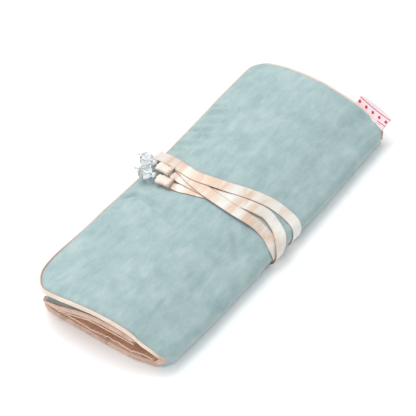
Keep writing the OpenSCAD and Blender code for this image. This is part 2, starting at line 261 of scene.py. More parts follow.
def grid_faces(rows, columns, start=0, close_columns=False):
    faces = []
    for i in range(rows - 1):
        for j in range(columns - (0 if close_columns else 1)):
            k = (j + 1) % columns
            a, b = start + i * columns, start + (i + 1) * columns
            faces.append((a + j, a + k, b + k, b + j))
    return faces


def shell(name, outer, inner, mat, slot):
    """a closed layer between two grids of points"""
    rows, columns = outer.shape[:2]
    n = rows * columns
    faces = grid_faces(rows, columns)
    faces += [tuple(reversed([i + n for i in f])) for f in faces]
    rim = list(range(columns))
    rim += [i * columns + columns - 1 for i in range(1, rows)]
    rim += [(rows - 1) * columns + j for j in range(columns - 2, -1, -1)]
    rim += [i * columns for i in range(rows - 2, 0, -1)]
    faces += [(a, b, b + n, a + n) for a, b in zip(rim, rim[1:] + rim[:1])]
    points = np.concatenate([outer.reshape(-1, 3), inner.reshape(-1, 3)])
    return make_mesh(name, points, faces, mat)


def tube(name, rings, mat, marks=None):
    """a closed sweep over rings of points"""
    count = len(rings[0])
    points = np.concatenate(rings)
    faces = grid_faces(len(rings), count, close_columns=True)
    faces += [tuple(range(count - 1, -1, -1)), tuple(range(len(points) - count, len(points)))]
    return make_mesh(name, points, faces, mat, marks=marks)


def round_rings(path, radius, count):
    """rings of a round wire or thread along a path"""
    path = np.asarray(path, float)
    rings = []
    side = None
    for i, p in enumerate(path):
        ahead = unit(path[min(i + 1, len(path) - 1)] - path[max(i - 1, 0)])
        if side is None:
            side = unit(np.cross(ahead, (0.3, 0.2, 1)))
        side = unit(side - ahead * (side @ ahead))
        up = np.cross(ahead, side)
        r = radius[i] if hasattr(radius, "__len__") else radius
        turns = np.linspace(0, 2 * math.pi, count, endpoint=False)
        rings.append(np.array([p + r * (math.cos(a) * side + math.sin(a) * up) for a in turns]))
    return rings


def wave(x, y, seed):
    return noise.noise(Vector((x, y, seed)))


# ---- materials ----


class Nodes:
    """a material's node tree, built up call by call"""

    def __init__(self, name, color, roughness, **values):
        self.mat = bpy.data.materials.new(name)
        self.mat.use_nodes = True
        self.tree = self.mat.node_tree
        self.shader = self.tree.nodes["Principled BSDF"]
        self.shader.inputs["Base Color"].default_value = (*color, 1)
        self.shader.inputs["Roughness"].default_value = roughness
        for key, value in values.items():
            self.shader.inputs[key.replace("_", " ")].default_value = value
        self.place = self.add("ShaderNodeTexCoord").outputs["Object"]

    def add(self, kind, inputs=None, **settings):
        """a node, with each input given as a value or as the socket that feeds it"""
        node = self.tree.nodes.new(kind)
        for key, value in settings.items():
            setattr(node, key, value)
        for key, value in (inputs or {}).items():
            if isinstance(value, bpy.types.NodeSocket):
                self.tree.links.new(value, node.inputs[key])
            else:
                node.inputs[key].default_value = value
        return node

    def attribute(self, name):
        return self.add("ShaderNodeAttribute", attribute_name=name).outputs["Fac"]

    def stretched(self, scale, turn=(0, 0, 0)):
        node = self.add("ShaderNodeMapping", {"Vector": self.place, "Scale": scale, "Rotation": turn})
        return node.outputs["Vector"]

    def noise(self, scale, detail=3, roughness=0.5, vector=None, distortion=0):
        return self.add("ShaderNodeTexNoise", {
            "Vector": vector or self.place, "Scale": scale, "Detail": detail,
            "Roughness": roughness, "Distortion": distortion}).outputs["Fac"]

    def bands(self, scale, direction, distortion):
        return self.add("ShaderNodeTexWave", {
            "Vector": self.place, "Scale": scale, "Distortion": distortion,
            "Detail": 2, "Detail Scale": 2}, bands_direction=direction).outputs["Fac"]

    def ramp(self, factor, stops):
        node = self.add("ShaderNodeValToRGB", {"Fac": factor})
        elements = node.color_ramp.elements
        while len(elements) < len(stops):
            elements.new(0.5)
        for element, (at, color) in zip(elements, stops):
            element.position = at
            element.color = (*color, 1)
        return node.outputs["Color"]

    def mix(self, factor, a, b):
        a, b = ((*c, 1) if isinstance(c, tuple) else c for c in (a, b))
        node = self.add("ShaderNodeMix", {0: factor, 6: a, 7: b}, data_type="RGBA")
        return node.outputs[2]

    def math(self, operation, a, b=0):
        return self.add("ShaderNodeMath", {0: a, 1: b}, operation=operation).outputs[0]

    def color(self, socket):
        self.tree.links.new(socket, self.shader.inputs["Base Color"])

    def roughness(self, factor, low, high):
        node = self.add("ShaderNodeMapRange", {"Value": factor, "To Min": low, "To Max": high})
        self.tree.links.new(node.outputs["Result"], self.shader.inputs["Roughness"])

    def bumps(self, *layers):
        """layers are (height, strength, distance in mm), the coarsest first"""
        normal = None
        for height, strength, distance in layers:
            inputs = {"Height": height, "Strength": strength, "Distance": distance * MM}
            if normal is not None:
                inputs["Normal"] = normal
            normal = self.add("ShaderNodeBump", inputs).outputs["Normal"]
        self.tree.links.new(normal, self.shader.inputs["Normal"])


def velvet_material():
    """cotton velvet: broad patches, brushed strokes and a fine pile"""
    m = Nodes("velvet", (0.35, 0.47, 0.47), 0.9, Sheen_Weight=0.4, Sheen_Roughness=0.45,
              Sheen_Tint=(0.97, 1, 1, 1), Specular_IOR_Level=0.2)
    patches = m.noise(26, 4, 0.55, distortion=0.15)
    blotches = m.noise(75, 4, 0.55, distortion=0.1)
    brushed = m.noise(1, 4, 0.62, m.stretched((60, 190, 140), (0, 0, 0.5)))
    pile = m.noise(1300, 3, 0.65)
    tone = m.ramp(patches, [(0.3, (0.285, 0.395, 0.405)), (0.52, (0.350, 0.462, 0.463)),
                            (0.72, (0.425, 0.523, 0.513))])
    strokes = m.ramp(brushed, [(0.38, (0.250, 0.365, 0.380)), (0.66, (0.462, 0.552, 0.540))])
    tone = m.mix(0.55, tone, strokes)
    clouds = m.ramp(blotches, [(0.36, (0.235, 0.345, 0.360)), (0.5, (0.350, 0.462, 0.463)),
                               (0.64, (0.490, 0.578, 0.562))])
    tone = m.mix(0.3, tone, clouds)
    tone = m.mix(0.22, tone, m.ramp(pile, [(0.3, (0.20, 0.30, 0.30)), (0.7, (0.50, 0.62, 0.61))]))
    m.color(tone)
    m.roughness(brushed, 0.82, 0.98)
    m.bumps((blotches, 0.3, 1.0), (brushed, 0.25, 0.6), (pile, 0.4, 0.35))
    return m.mat


def satin_material(name, light, mid, dark, roughness, weave=900, streaks=60, spread=0.2,
                   shaded=None, pale=None):
    """woven satin: long floats along X, soft streaks and slight slubs; on the ribbon the streaks are
    painted satin reflections.
    The mesh marks painted light (pale, but a plain tone on the pocket hem) and painted shade (shade, but
    plain edge lines on the ribbon)"""
    m = Nodes(name, mid, roughness, Specular_IOR_Level=0.55, Anisotropic=0.35)
    floats = m.bands(weave, "Y", distortion=1.5)
    across = m.bands(weave * 0.7, "X", distortion=1.2)
    soft = m.noise(streaks, 3, 0.55, m.stretched((0.5, 1.6, 1.6)), 0.4)
    slubs = m.noise(1, 2, 0.5, m.stretched((160, 900, 900)))
    # streaks of tone; on the ribbon, with its narrow spread, the pale and peach streaks are painted satin
    # reflections
    tone = m.ramp(soft, [(0.51 - spread, dark), (0.51, mid), (0.51 + spread, light)])
    tone = m.mix(0.12, tone, m.ramp(slubs, [(0.35, dark), (0.7, light)]))
    tone = m.mix(0.07, tone, m.ramp(floats, [(0.2, dark), (0.8, light)]))
    # paler where marked: painted light on the flap's binding and the knots' tops, a plain paler tone on the
    # pocket hem
    if pale:
        lit = m.ramp(soft, [(0.51 - spread, tuple(0.86 * c for c in pale)), (0.51 + spread, pale)])
        tone = m.mix(m.attribute("pale"), tone, lit)
    # darker where marked: painted shade at the bindings' seams and crevices, where the ribbon turns over
    # the edges, and on the knots' sides, undersides and ruffles; also a darker line along the ribbon's
    # edges
    if shaded:
        tone = m.mix(m.attribute("shade"), tone, shaded)
    m.color(tone)
    m.roughness(soft, roughness - 0.05, roughness + 0.1)
    m.bumps((soft, 0.12, 0.7), (slubs, 0.18, 0.12), (floats, 0.2, 0.06), (across, 0.12, 0.05))
    return m.mat


def label_material():
    """a woven label: pale ground, fine warp lines, and red woven rows of small lozenges"""
    m = Nodes("label_weave", (0.84, 0.72, 0.74), 0.7, Specular_IOR_Level=0.3)
    warp = m.bands(1400, "Y", distortion=0.5)
    weft = m.bands(1100, "X", distortion=0.5)
    ground = m.ramp(warp, [(0.2, (0.80, 0.62, 0.66)), (0.8, (0.90, 0.80, 0.82))])
    split = m.add("ShaderNodeSeparateXYZ", {"Vector": m.place})
    along = m.math("PINGPONG", split.outputs["Y"], 0.0031)
    outward = m.math("ABSOLUTE", m.math("SUBTRACT", split.outputs["X"], 0.1509))
    lozenge = m.math("ADD", m.math("MULTIPLY", along, 0.9), outward)
    red = m.math("LESS_THAN", lozenge, 0.0013)
    stripe = m.math("LESS_THAN", m.math("ABSOLUTE", m.math("SUBTRACT", outward, 0.0026)), 0.00025)
    marks = m.math("MAXIMUM", red, stripe)
    m.color(m.mix(marks, ground, (0.62, 0.03, 0.07)))
    m.bumps((warp, 0.3, 0.08), (weft, 0.3, 0.08), (marks, 0.2, 0.1))
    return m.mat


def metal_material():
    m = Nodes("silver_metal", (0.80, 0.80, 0.82), 0.22, Metallic=1.0)
    scratches = m.noise(1, 3, 0.6, m.stretched((700, 2500, 700)))
    tarnish = m.noise(420, 3, 0.5)
    m.color(m.ramp(tarnish, [(0.3, (0.60, 0.60, 0.62)), (0.7, (0.86, 0.86, 0.87))]))
    m.roughness(tarnish, 0.14, 0.34)
    m.bumps((scratches, 0.15, 0.03))
    return m.mat


def crystal_material(name, tint):
    m = Nodes(name, tint, 0.03, Transmission_Weight=0.77, IOR=1.5)
    ripple = m.noise(330, 2, 0.5)
    m.color(m.ramp(ripple, [(0.35, tuple(0.93 * c for c in tint)), (0.65, tint)]))
    m.roughness(ripple, 0.04, 0.12)
    m.bumps((ripple, 0.08, 0.05))
    return m.mat


def thread_material():
    m = Nodes("thread", (0.78, 0.60, 0.48), 0.6)
    twist = m.bands(1800, "DIAGONAL", distortion=0.4)
    m.color(m.ramp(twist, [(0.2, (0.62, 0.44, 0.34)), (0.8, (0.84, 0.68, 0.56))]))
    m.bumps((twist, 0.5, 0.06))
    return m.mat


VELVET = velvet_material()
# the piping's shaded colour is painted shade at the bindings' seams and crevices; its pale colour is
# painted light on the flap's binding and a plain paler tone on the pocket hem
PIPING = satin_material("piping_satin", (0.73, 0.51, 0.40), (0.63, 0.42, 0.325), (0.48, 0.30, 0.22), 0.36,
                        streaks=90, shaded=(0.24, 0.12, 0.09), pale=(0.93, 0.81, 0.70))
SATIN = satin_material("lining_satin", (0.84, 0.52, 0.355), (0.76, 0.45, 0.295), (0.66, 0.37, 0.235), 0.33)
# the ribbon's pale and peach streaks are painted satin reflections; its shaded colour is painted shade over
# the edges, round the fold and on the knots, and a darker line along its edges; its pale colour is painted
# light on the knots' tops
RIBBON = satin_material("ribbon_satin", (0.80, 0.79, 0.75), (0.75, 0.67, 0.58), (0.68, 0.49, 0.36), 0.34,
                        weave=1100, streaks=42, spread=0.09, shaded=(0.34, 0.18, 0.11),
                        pale=(0.88, 0.75, 0.66))
THREAD = thread_material()
LABEL = label_material()
METAL = metal_material()
CLEAR = crystal_material("crystal", (0.90, 0.93, 0.94))
FROSTED = crystal_material("lobed_glass", (0.88, 0.90, 0.91))

# ---- panels ----
# A panel's section is a list of stations. Each station is the outer (velvet) point, the inner
# (lining) direction and the half length there, from the middle of the back round a fold to the
# panel's free edge.


def rounded(half, y, start, radius, inset):
    """half length at y, inset from an outline whose corner of that radius begins at start"""
    radius -= inset
    past = min(max(0, y - start), radius)
    return half - inset - radius + math.sqrt(max(0, radius * radius - past * past))


def plan_half(y, side, share, inset=0):
    """half length of the back's plan, and of the panel that share of the way round the fold"""
    half = HALF_LENGTH - (share if side > 0 else 0)
    radius = LEFT_CORNER if side > 0 else RIGHT_CORNER
    return rounded(half, abs(y), FOLD_Y + FOLD_R - radius, radius, inset)


def flap_half(y, far, inset=0):
    if y < 0:
        return plan_half(y, -1, 1, inset)
    corner = FAR_FLAP_CORNER if far else FLAP_CORNER
    return rounded(HALF_LENGTH, y, EDGE_Y - corner, corner, inset)


def middle_half(y, far, inset=0):
    if y > FOLD_Y - 10:
        return plan_half(y, 1, 1, inset)
    return rounded(HALF_LENGTH - 1, -y, -MIDDLE_TIP_Y - TIP_CORNER, TIP_CORNER, inset)


def half_at(side, share):
    """plan_half as a station keeps it: the back's two ends are alike"""
    return lambda y, far, inset=0: plan_half(y, side, share, inset)


def station(y, z, inward, half):
    return {"y": y, "z": z, "in": np.array([0, inward[0], inward[1]]), "half": half}


FOLD_STEPS = 30


def section(side, top, half, free_y, corner, step=1.6):
    """stations from the middle of the back to the free edge. side is -1 for the right fold"""
    stations = []
    for y in np.arange(0, FOLD_Y, 2 * step):
        stations.append(station(side * y, 0, (0, 1), half_at(side, 0)))
    for a in np.linspace(0, 180, FOLD_STEPS + 1)[:-1]:
        c, s = cos_sin(a)
        y, z = side * (FOLD_Y + FOLD_R * s), FOLD_R - FOLD_R * c
        stations.append(station(y, z, (-side * s, c), half_at(side, a / 180)))
    start, turn = side * FOLD_Y, free_y + side * corner
    # rows stand closer where the free edge's corners are
    for y in (*np.linspace(start, turn, int(abs(turn - start) / step), endpoint=False),
              *np.linspace(turn, free_y, int(corner / 0.9))):
        stations.append(station(y, top(y), (0, -1), half))
    return stations


RIGHT = section(-1, crown, flap_half, EDGE_Y, FLAP_CORNER)

# between the ribbon and the ends the right fold runs into the flap without a hollow
FILL_ANGLE, FILL_Y = math.radians(148), -38


def fill_fold():
    """sets how far each station from FILL_ANGLE to FILL_Y is from one smooth curve"""
    start = np.array([-FOLD_Y - FOLD_R * math.sin(FILL_ANGLE), FOLD_R - FOLD_R * math.cos(FILL_ANGLE)])
    leave = np.array([-math.cos(FILL_ANGLE), math.sin(FILL_ANGLE)])
    end = np.array([FILL_Y, crown(FILL_Y)])
    arrive = unit((1, crown_slope(FILL_Y)))
    reach = np.linalg.norm(end - start)
    chosen = [s for s in RIGHT if s["z"] > FOLD_R and s["y"] < FILL_Y
              and (s["y"] > start[0] and s["z"] > start[1] - 1e-6)]
    path = np.array([start] + [[s["y"], s["z"]] for s in chosen] + [end])
    along = np.cumsum(np.linalg.norm(np.diff(path, axis=0), axis=1))
    for s, t in zip(chosen, along[:-1] / along[-1]):
        at = hermite(t, start, leave * reach, end, arrive * reach)
        s["fill"] = np.array([0, at[0] - s["y"], at[1] - s["z"]])


fill_fold()
LEFT = section(1, middle_top, middle_half, MIDDLE_TIP_Y, TIP_CORNER)

# How the sewn case strays from its plan, in mm: the two ends bow, and the flap's free edge is
# drawn in by the ribbon and at its near corner.
NEAR_FLAP_Y, NEAR_FLAP_IN = [-60, -36, 0, 40, 72], [6, 3.5, 0, -2.5, -1.5]
NEAR_BACK_Y, NEAR_BACK_IN = [-62, -52, -36, 0, 44, 72], [10, 6, 3.5, 2, 2, 4]
FAR_FLAP_Y, FAR_FLAP_OUT = [-62, -50, -9, 24, 44, 72], [1, 5, 1.5, 3, 3, -1]
EDGE_X, EDGE_IN = [-140, -115, -60, 15, 100], [3, 0.5, 1, 3.5, 0.5]


def warped(points):
    """points carried from the plain plan to the case as it is sewn and tied"""
    points = np.array(points, float)
    for p in points.reshape(-1, 3):
        x, y, z = p
        high = smooth_step((z - 8) / 10)
        if x < 0:
            on_flap = eased(y, NEAR_FLAP_Y, NEAR_FLAP_IN, 3)
            on_back = eased(y, NEAR_BACK_Y, NEAR_BACK_IN, 3)
            p[0] += (on_flap * high + on_back * (1 - high)) * (x / HALF_LENGTH) ** 4
            # under the flap the left fold's end is drawn down
            below = smooth_step((crown(y) - QUILT - z) / 1.5) * smooth_step((z - 6) / 6)
            p[2] -= 2.6 * smooth_step((-x - 126) / 18) * smooth_step((y - 18) / 34) * below
        else:
            p[0] += eased(y, FAR_FLAP_Y, FAR_FLAP_OUT, 6) * (0.3 + 0.7 * high) * (x / HALF_LENGTH) ** 4
        p[1] += nose_in(x, y)
        p[1] -= eased(x, EDGE_X, EDGE_IN, 6) * smooth_step((y - 44) / 26) * high
    return points


def cinch(x):
    """how far the ribbon draws the case in at this place along it, from 0 to 1"""
    return bell(max(CHANNEL[0] - x, x - CHANNEL[1], 0), 9)


def edge_gap(x, y, half, free_y, side):
    """distance to the panel's outline, seen from above"""
    if free_y is None:
        return half - abs(x)
    corner = TIP_CORNER if side > 0 else FAR_FLAP_CORNER if x > 0 else FLAP_CORNER
    to_free = (free_y - y) * (1 if side < 0 else -1)
    to_end = HALF_LENGTH - (0 if side < 0 else 1) - abs(x)
    if to_free < corner and to_end < corner:
        return corner - math.hypot(corner - to_free, corner - to_end)
    return min(to_free, to_end)


# creases in the velvet: two ends, width and depth
CREASES = [
    ((81, 67), (85, 56), 2.0, 0.9), ((85, 56), (82, 43), 2.6, 0.7),
    ((71, 66), (76, 54), 2.2, 0.5), ((59, 66), (66, 48), 2.4, 0.9),
    ((50, 67), (54, 48), 2.2, 1.0), ((42, 60), (47, 46), 2.4, 1.0),
    ((47, 46), (44, 20), 3.0, 0.8), ((32, 65), (37, 46), 2.2, 0.8),
    ((24, 67), (26, 54), 1.9, 1.1), ((60, 40), (58, 16), 3.0, 0.5),
    ((95, 26), (99, -12), 3.4, 0.5), ((-41, 67), (-32, 56), 2.2, 1.1),
    ((-31, 58), (-36, 36), 2.2, 1.2), ((-34, 40), (-48, 0), 2.6, 0.8),
    ((-58, 68), (-50, 56), 2.4, 0.5), ((-104, 40), (-84, 4), 3.6, 0.5),
    ((28, -30), (44, -52), 3.0, 0.4), ((-20, -26), (-38, -50), 3.2, 0.5),
]


def crease_depth(x, y):
    """how deep the creases are here: a valley each, with a low ridge along it"""
    total = 0
    for (x0, y0), (x1, y1), width, depth in CREASES:
        dx, dy = x1 - x0, y1 - y0
        t = ((x - x0) * dx + (y - y0) * dy) / (dx * dx + dy * dy)
        if -0.3 < t < 1.3:
            away = math.hypot(x - x0 - t * dx, y - y0 - t * dy)
            fade = smooth_step((1.3 - t) / 0.6) * smooth_step((t + 0.3) / 0.4)
            total += depth * fade * (bell(away, width) - 0.45 * bell(away - 2 * width, width))
    return total


def flap_swell(x, y, gap):
    """soft unevenness of the flap's velvet, in mm outwards"""
    swell = 0.5 * wave(x / 33, y / 27, 1.3) + 0.28 * wave(x / 13, y / 15, 5.1)
    # gathers that run in from the free edge and from both ends
    from_edge = EDGE_Y - y
    swell += 1.1 * math.exp(-from_edge / 22) * wave(x / 5.5, from_edge / 42, 4.2)
    from_end = HALF_LENGTH - abs(x)
    swell += (0.75 if x < 0 else 0.4) * math.exp(-from_end / 12) * wave(x / 30, y / 5.5, 7.7)
    swell -= 1.7 * crease_depth(x, y)
    # the wadding thins out towards the edges
    return swell * smooth_step(gap / 5) - 1.3 * math.exp(-gap / 6)


def middle_swell(x, y, gap):
    return 0.3 * wave(x / 18, y / 14, 11.2) * smooth_step(gap / 6)


def no_swell(x, y, gap):
    return 0


def fold_swell(x, share):
    """unevenness of the velvet round a fold: lines along the fold, drawn in by the ribbon"""
    drawn = CHANNEL_DEPTH * (1 - share) * cinch(x)
    return 0.35 * wave(x / 16, share * 3, 9.4) * math.sin(math.pi * share) - drawn


def cover_grid(stations, side, free_y, columns, depth_out, depth_in, swell, seam_dip):
    """outer and inner grids of a layer between two depths under the panel's outer surface"""
    outer, inner = [], []
    back = sum(1 for s in stations if s["z"] == 0)
    for i, s in enumerate(stations):
        share = min(1, max(0, (i - back) / FOLD_STEPS))
        on_top = i >= back + FOLD_STEPS
        rows = ([], [])
        inset = seam_dip["inset"]
        drawn_back = side * inset * max(0, 1 - abs(free_y - s["y"]) / 10) if on_top else 0
        for u in np.linspace(-1, 1, columns):
            # columns stand closer at the ends
            u = math.sin(u * math.pi / 2) * 0.35 + u * 0.65
            for row, depth in zip(rows, (depth_out, depth_in)):
                y = s["y"] + s["in"][1] * depth + drawn_back
                z = s["z"] + s["in"][2] * depth
                ends = [s["half"](y, far, inset) for far in (False, True)]
                x = (ends[0] + ends[1]) * (u + 1) / 2 - ends[0]
                gap = edge_gap(x, y, ends[int(x > 0)], free_y if on_top else None, side)
                dip = seam_dip["out"] if depth == depth_out else -seam_dip["in"]
                move = dip * bell(max(gap, 0), seam_dip["reach"])
                if depth == depth_out and on_top:
                    move -= swell(x, y, gap)
                    past = smooth_step(abs(y - side * FOLD_Y) / 8)
                    move -= fold_swell(x, 1) * (1 - past)
                elif depth == depth_out:
                    move -= fold_swell(x, share)
                fill = s.get("fill", np.zeros(3)) * (1 - 0.9 * cinch(x))
                row.append((x, y + s["in"][1] * move + fill[1], z + s["in"][2] * move + fill[2]))
        outer.append(rows[0])
        inner.append(rows[1])
    return np.array(outer), np.array(inner)


COVER_DIP = {"inset": 1.2, "reach": 2.6, "out": 1.1, "in": 0.6}
right_grids = cover_grid(RIGHT, -1, EDGE_Y, 201, 0, COVER, flap_swell, COVER_DIP)
right_cover = shell("right_velvet_cover", *map(warped, right_grids), VELVET, "velvet")
left_grids = cover_grid(LEFT, 1, MIDDLE_TIP_Y, 141, 0, COVER, middle_swell, COVER_DIP)
left_cover = shell("left_velvet_cover", *map(warped, left_grids), VELVET, "velvet")

LINING_DIP = {"inset": 1.4, "reach": 2.5, "out": 0.0, "in": 0.0}


def lining_grid(stations, side, free_y, columns):
    """the two sides of a lining, with a light ripple on the side that shows"""
    top = COVER + 0.05
    outer, inner = cover_grid(stations, side, free_y, columns, top, QUILT, no_swell, LINING_DIP)
    for i, s in enumerate(stations):
        for j in range(outer.shape[1]):
            x = inner[i, j, 0]
            ripple = 0.22 * wave(x / 9, i / 5, 15.2) + 0.12 * wave(x / 4, i / 3, 3.3)
            surface = np.array([x, outer[i, j, 1] if s["in"][1] == 0 else s["y"], s["z"]])
            inner[i, j] = surface + s["in"] * (QUILT + ripple)
            outer[i, j] = surface + s["in"] * top
    return outer, inner


right_grids = lining_grid(RIGHT, -1, EDGE_Y, 121)
right_lining = shell("right_satin_lining", *map(warped, right_grids), SATIN, "satin")
left_grids = lining_grid(LEFT, 1, MIDDLE_TIP_Y, 121)
left_lining = shell("left_satin_lining", *map(warped, left_grids), SATIN, "satin")

# ---- bindings ----


def outline(stations, side, free_y, corners):
    """pairs of outer and inner edge points, from the middle of the back at the far end, round the
    free edge, to the middle of the back at the near end"""
    free_half = stations[-1]["half"]
    top = crown if side < 0 else middle_top

    def through(x, y):
        """the panel's top and underside at one place"""
        return [np.array([x, y, top(y)]), np.array([x, y, top(y) - QUILT])]

    def end(far):
        corner = corners[far]
        corner_y = free_y + side * corner
        pairs = []
        for s in stations:
            if s["z"] < FOLD_R or side * s["y"] > FOLD_Y + 1e-6 or side * (s["y"] - corner_y) > 2:
                fill = s.get("fill", np.zeros(3))
                pairs.append([np.array([s["half"](s["y"] + s["in"][1] * depth, far), s["y"], s["z"]])
                              + s["in"] * depth + fill for depth in (0, QUILT)])
        half = free_half(corner_y, far)
        for a in np.linspace(0, math.pi / 2, 13):
            y = corner_y - side * corner * math.sin(a)
            pairs.append(through(half - corner + corner * math.cos(a), y))
        return pairs, half - corner

    far_pairs, far_x = end(True)
    near_pairs, near_x = end(False)
    straight = [through(x, free_y) for x in np.linspace(far_x, -near_x, int((far_x + near_x) / 2.5))[1:-1]]
    return far_pairs + straight + [[p * (-1, 1, 1) for p in points] for points in reversed(near_pairs)]


def binding(name, side, pairs, width, seed, top_move):
    """a satin band rolled round a panel's edge, with painted shade in the crease where it is sewn to the
    velvet and painted light, a paler cream, high along the flap where the light falls"""
    pairs = [list(warped(points)) for points in pairs]
    for points in pairs:
        points[0] = points[0] + top_move(points[0])
    rings, shade, pale = [], [], []
    middle = [(a + b) / 2 for a, b in pairs]
    for i, (outer, inner) in enumerate(pairs):
        ahead = unit(middle[min(i + 1, len(middle) - 1)] - middle[max(i - 1, 0)])
        slim = 0.16 * (side < 0) * smooth_step((outer[2] - 14) / 5)
        tall = (outer - inner) / 2 * (1 - slim)
        tall = tall - ahead * (tall @ ahead)
        bulge = side * unit(np.cross(tall, ahead))
        gather = 1 + 0.07 * wave(i / 1.7, 0, seed) + 0.05 * wave(i / 5, 1, seed)
        # past the flap's near corner the band turns under and hardly shows
        x, y, z = middle[i]
        turned = smooth_step((x + 125) / 50) * smooth_step((z - 9) / 6) * (side < 0)
        shown = 1 - 0.9 * turned
        ring = []
        for degrees in range(0, 360, 20):
            c, s = cos_sin(degrees)
            reach = width * gather * (c if c > 0 else 0.9 * c)
            height = 0.97 * np.sign(s) * abs(s) ** 0.9
            out = reach - (width - 0.1 + 1.2 * turned)
            ring.append(middle[i] + bulge * out + tall * (height + slim))
            # painted shade: darker in the crease at the seam with the velvet and, less so, in the crevice
            # on the lining side; little seam shade where the band turns under
            shade.append(shown * bell(degrees - 108, 22) + 0.6 * bell(degrees - 262, 30))
            # painted light: the binding paler cream high up on the flap, where the light falls
            pale.append(0.8 * (side < 0) * smooth_step((z - 11) / 6))
        rings.append(np.array(ring))
    return tube(name, rings, PIPING, marks={"shade": shade, "pale": pale})


def flap_move(p):
    """how far the velvet's soft unevenness carries the top of the flap's binding"""
    if p[1] < -FOLD_Y + 4 or p[2] < 17:
        return np.array([0, 0, 0])
    return np.array([0, 0, 0.5 * wave(p[0] / 33, p[1] / 27, 1.3)])


def still(p):
    return np.array([0, 0, 0])


right_outline = outline(RIGHT, -1, EDGE_Y, (FLAP_CORNER, FAR_FLAP_CORNER))
right_binding = binding("right_satin_binding", -1, right_outline, 1.25, 21.3, flap_move)
left_outline = outline(LEFT, 1, MIDDLE_TIP_Y, (TIP_CORNER, TIP_CORNER))
left_binding = binding("left_satin_binding", 1, left_outline, 1.2, 25.7, still)

# ---- brush pockets ----

HEM_X = -144.6
FAR_X = 144.5
POCKET_CLOTH = 0.5
POCKET_LIFT = QUILT + 0.15
BACK_SEAMS = [-50, -23, 15, 52]
MIDDLE_SEAMS = [-25.5, 15, 52]


def slot_gap(y, seams):
    """how far the pocket stands off the lining between its seams, from 0 to 1"""
    for a, b in zip(seams, seams[1:]):
        if a <= y <= b:
            return math.sin(math.pi * (y - a) / (b - a)) ** 0.7
    return 0.0


def pocket_stations():
    """from the right fold along the back, round the left fold and along the middle panel: place,
    direction off the lining, slot's gap and way along the cloth"""
    stations = []
    for y in np.arange(-50, FOLD_Y, 1.0):
        stations.append((y, POCKET_LIFT, 0, 1, slot_gap(y, BACK_SEAMS), y))
    r = FOLD_R - POCKET_LIFT
    for a in np.linspace(0, 180, 13):
        c, s = cos_sin(a)
        stations.append((FOLD_Y + r * s, FOLD_R - r * c, -s, c, 0, FOLD_Y + a * 0.06))
    for y in np.arange(FOLD_Y - 1, MIDDLE_TIP_Y + 2, -1.0):
        stations.append((y, middle_top(y) - POCKET_LIFT, 0, -1, slot_gap(y, MIDDLE_SEAMS), 126 - y))
    return stations


def pocket_grid():
    columns = np.concatenate([np.linspace(HEM_X, HEM_X + 22, 23), np.linspace(HEM_X + 25, FAR_X, 48)])
    near, far = [], []
    for y, z, iy, iz, gap, along in pocket_stations():
        row_near, row_far = [], []
        hem_wave = 0.55 * wave(along / 4.2, 0, 31.1) + 0.45 * wave(along / 9.5, 1, 32.4)
        for x in columns:
            from_hem = x - HEM_X
            mouth = math.exp(-from_hem / 16)
            pinch = smooth_step(min(gap / 0.35, 1))
            stand = gap * (0.9 + (2.0 if y < 15 and iz > 0 else 0.5) * mouth)
            ripple = 0.35 * wave(along / 5, x / 40, 36.6) + 0.2 * wave(along / 11, x / 18, 38.2)
            stand += pinch * (1.1 * hem_wave * math.exp(-from_hem / 7) + ripple)
            stand = max(0.0, stand)
            xx = x + 0.9 * hem_wave * math.exp(-from_hem / 5) * pinch
            row_near.append((xx, y + iy * stand, z + iz * stand))
            row_far.append((xx, y + iy * (stand + POCKET_CLOTH), z + iz * (stand + POCKET_CLOTH)))
        near.append(row_near)
        far.append(row_far)
    return np.array(near), np.array(far)


pocket_near, pocket_far = map(warped, pocket_grid())
pocket = shell("brush_pocket", pocket_near, pocket_far, SATIN, "satin")
hem_line = [(a + b) / 2 + (-0.15, 0, 0) for a, b in zip(pocket_near[:, 0], pocket_far[:, 0])]
hem = tube("pocket_hem", round_rings(hem_line, 0.55, 10), PIPING,
           marks={"pale": [0.6] * 10 * len(hem_line)})

STITCH_PITCH, STITCH_LENGTH = 3.0, 2.3
STITCH_RADII, STITCH_SIDES = [0.1, 0.2, 0.24, 0.24, 0.2, 0.1], 6


def stitches(name, y, z, up):
    """a line of stitches along a slot's side"""
    points, faces = [], []
    for x in np.arange(HEM_X + 1.5, FAR_X - 6, STITCH_PITCH):
        path = [(x + t * STITCH_LENGTH, y + 0.08 * wave(x, t, 2.2),
                 z + up * (0.06 + 0.2 * math.sin(math.pi * t)))
                for t in np.linspace(0, 1, len(STITCH_RADII))]
        rings = round_rings(path, STITCH_RADII, STITCH_SIDES)
        start = len(points)
        points += [p for ring in rings for p in ring]
        faces += grid_faces(len(rings), STITCH_SIDES, start, close_columns=True)
        faces += [tuple(range(start + STITCH_SIDES - 1, start - 1, -1)),
                  tuple(range(len(points) - STITCH_SIDES, len(points)))]
    return make_mesh(name, points, faces, THREAD)


back_stitches = [stitches(f"back_stitches_{k + 1}", y, POCKET_LIFT + POCKET_CLOTH, 1)
                 for k, y in enumerate(BACK_SEAMS[1:3])]
seam_y = MIDDLE_SEAMS[1]
middle_stitches = stitches("middle_stitches", seam_y, middle_top(seam_y) - POCKET_LIFT - POCKET_CLOTH, -1)

# ---- label ----

LABEL_Y, LABEL_LENGTH, LABEL_REACH, LABEL_RISE = -36, 31, 9.2, 0.62
LABEL_ROOT, LABEL_TURN = -1.5, 0.5


